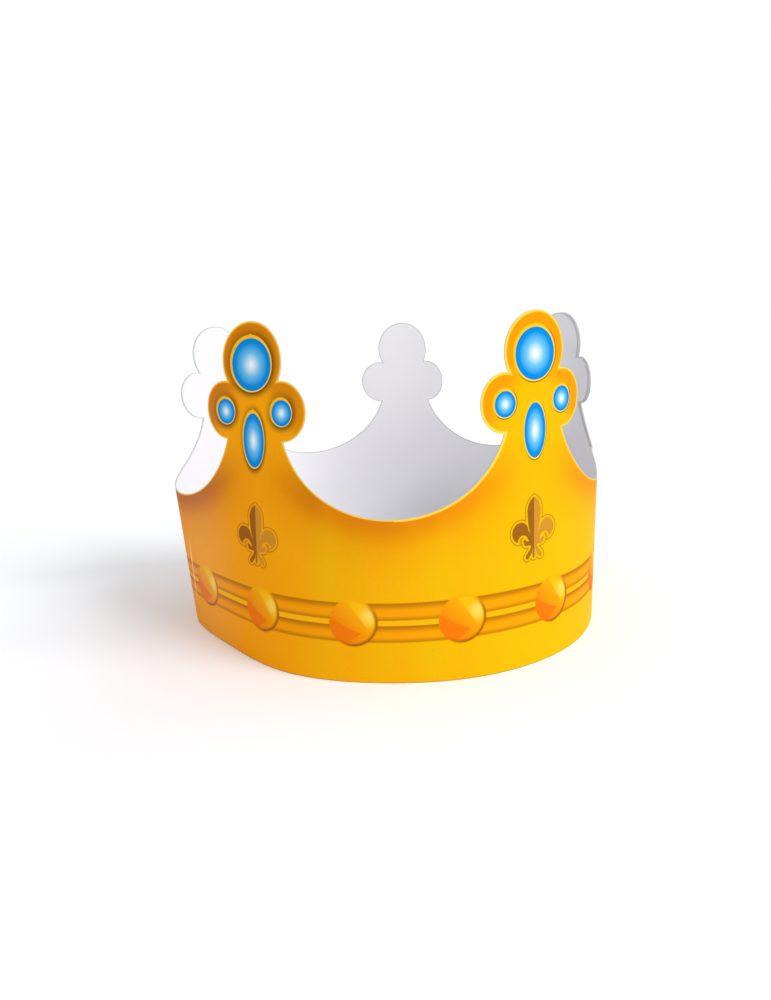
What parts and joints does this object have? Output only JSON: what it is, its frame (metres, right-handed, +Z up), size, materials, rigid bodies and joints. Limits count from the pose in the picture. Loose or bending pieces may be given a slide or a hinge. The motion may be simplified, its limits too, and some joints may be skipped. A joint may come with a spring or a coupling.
{
  "type": "paper crown",
  "caption": "Ring of thin card with five tall trefoil-tipped points and deep curved valleys between them, worn on the head.",
  "frame": {"origin": "middle of the bounding box, at the bottom edge of the card", "axes": "+Z up towards the points, -Y towards the front valley, +X to the wearer's left of the front"},
  "size_m": [0.1886, 0.1726, 0.1297],
  "materials": {
    "gold_card": "coated card, glossy gold print with blue gems and brown ornament outside, plain white inside"
  },
  "bodies": {
    "root": {"crown_card": "gold_card"}
  },
  "joints": []
}
